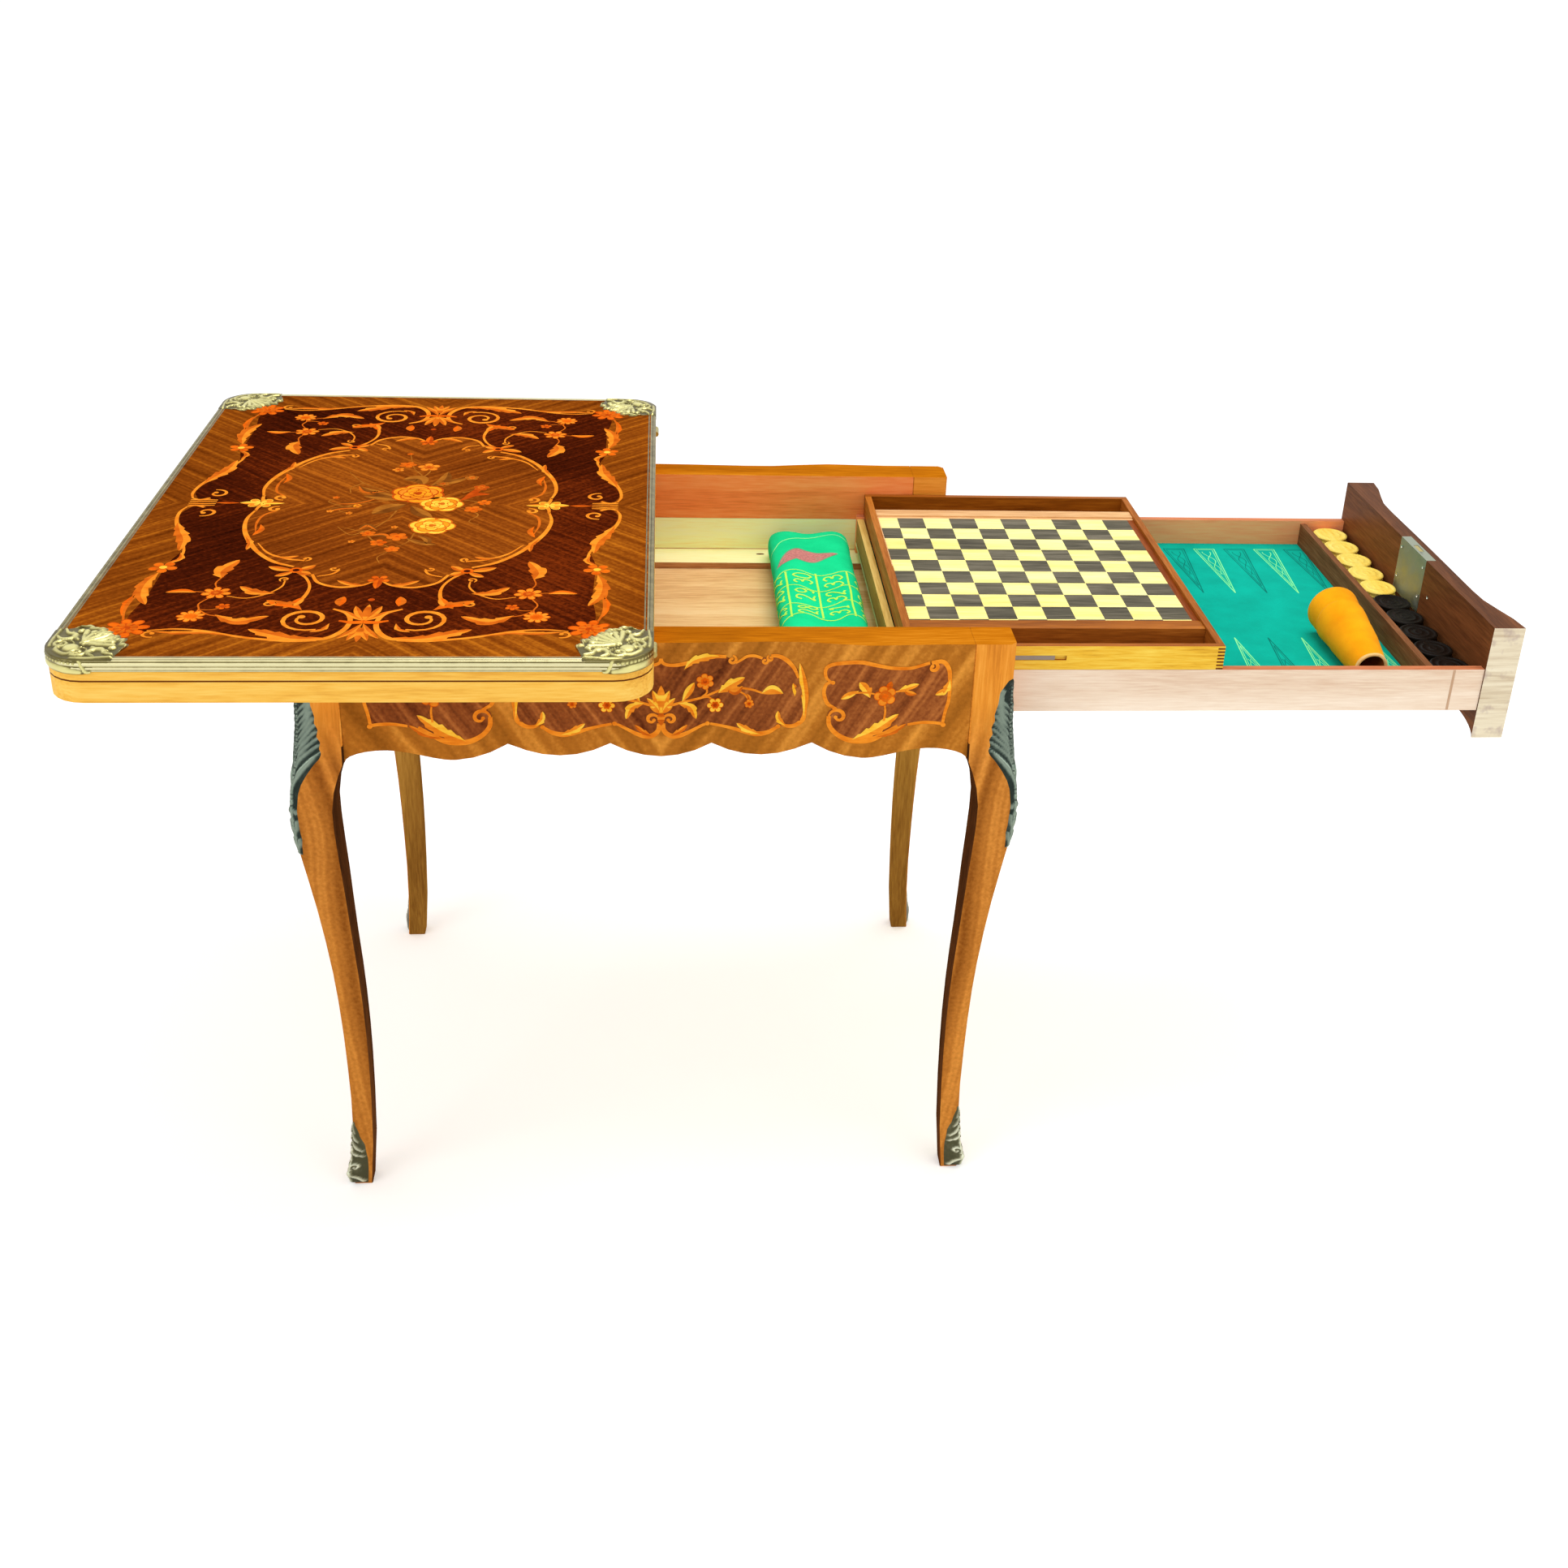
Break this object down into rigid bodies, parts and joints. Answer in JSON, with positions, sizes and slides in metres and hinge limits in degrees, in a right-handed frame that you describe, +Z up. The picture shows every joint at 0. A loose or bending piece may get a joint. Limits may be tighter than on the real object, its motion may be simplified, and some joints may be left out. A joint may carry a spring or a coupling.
{
  "type": "games table",
  "caption": "Folding-top games table on cabriole legs, with a swivelling card top, a pull-out backgammon drawer, a sliding draughts tray and a cloth well.",
  "frame": {"origin": "on the floor, under the middle of the bounding box at rest", "axes": "+Z up, +X the way the drawer pulls out, +Y towards the back"},
  "size_m": [1.5384, 0.8364, 0.764],
  "materials": {
    "marquetry_wood": "french polish over marquetry veneers",
    "leaf_edge": "french polish",
    "frieze_veneer": "french polish",
    "leg_veneer": "french polish",
    "pale_beech": "bare",
    "dark_mahogany": "waxed",
    "drawer_wood": "bare",
    "front_veneer": "french polish",
    "tray_walnut": "waxed",
    "board_wood": "french polish",
    "boxwood": "polished",
    "ebonised_wood": "polished",
    "aged_brass": "aged",
    "patinated_bronze": "patinated",
    "steel": "dull",
    "green_baize": "napped",
    "green_cloth": "napped and printed",
    "tan_leather": "saddle finish"
  },
  "bodies": {
    "base": {"leg_front_left": "leg_veneer", "leg_front_right": "leg_veneer", "leg_back_left": "leg_veneer", "leg_back_right": "leg_veneer", "knee_mount_front_left": "patinated_bronze", "knee_mount_front_right": "patinated_bronze", "knee_mount_back_left": "patinated_bronze", "knee_mount_back_right": "patinated_bronze", "sabot_front_left": "patinated_bronze", "sabot_front_right": "patinated_bronze", "sabot_back_left": "patinated_bronze", "sabot_back_right": "patinated_bronze", "frieze_front": "frieze_veneer", "frieze_back": "frieze_veneer", "frieze_left": "frieze_veneer", "runner_front": "pale_beech", "runner_back": "pale_beech", "floor_panel": "pale_beech", "bearer_rail": "pale_beech", "pivot_rail": "dark_mahogany", "roulette_cloth": "green_cloth"},
    "top_lower": {"lower_leaf": "leaf_edge", "lower_baize": "green_baize", "swivel_plate": "steel", "pivot_bolt": "steel", "pivot_nut": "steel", "lock_strike": "aged_brass", "hinge_lower_front": "aged_brass", "hinge_lower_back": "aged_brass"},
    "top_upper": {"upper_leaf": "marquetry_wood", "upper_baize": "green_baize", "edge_moulding": "aged_brass", "corner_mount_front_left": "aged_brass", "corner_mount_front_right": "aged_brass", "corner_mount_back_left": "aged_brass", "corner_mount_back_right": "aged_brass", "hinge_upper_front": "aged_brass", "hinge_upper_back": "aged_brass"},
    "drawer": {"drawer_front": "front_veneer", "drawer_side_front": "drawer_wood", "drawer_side_back": "drawer_wood", "drawer_back": "dark_mahogany", "drawer_bottom": "pale_beech", "drawer_felt": "green_baize", "drawer_divider": "dark_mahogany", "lock_case": "steel", "escutcheon": "aged_brass", "checkers_light": "boxwood", "checkers_dark": "ebonised_wood", "dice_cup": "tan_leather"},
    "bolt": {"lock_bolt": "aged_brass"},
    "tray": {"tray_side_front": "tray_walnut", "tray_side_back": "tray_walnut", "tray_bar_front": "steel", "tray_bar_back": "steel", "tray_end_left": "tray_walnut", "tray_end_right": "tray_walnut", "tray_bottom": "tray_walnut", "tray_board": "board_wood"}
  },
  "joints": [
    {"name": "top_swivel", "type": "hinge", "parent": "base", "child": "top_lower", "pos_m": [-0.33632, 0.146, 0.7154], "axis": [0, 0, 1], "range_deg": [0, 90]},
    {"name": "leaf_fold", "type": "hinge", "parent": "top_lower", "child": "top_upper", "pos_m": [-0.19748, 0, 0.7377], "axis": [0, 1, 0], "range_deg": [0, 180]},
    {"name": "drawer_slide", "type": "slide", "parent": "base", "child": "drawer", "axis": [1, 0, 0], "range_m": [-0.584, 0], "deforming": ["roulette_cloth"]},
    {"name": "tray_slide", "type": "slide", "parent": "drawer", "child": "tray", "axis": [1, 0, 0], "range_m": [0, 0.15]},
    {"name": "lock_bolt_slide", "type": "slide", "parent": "drawer", "child": "bolt", "axis": [0, 0, 1], "range_m": [0, 0.006]}
  ]
}
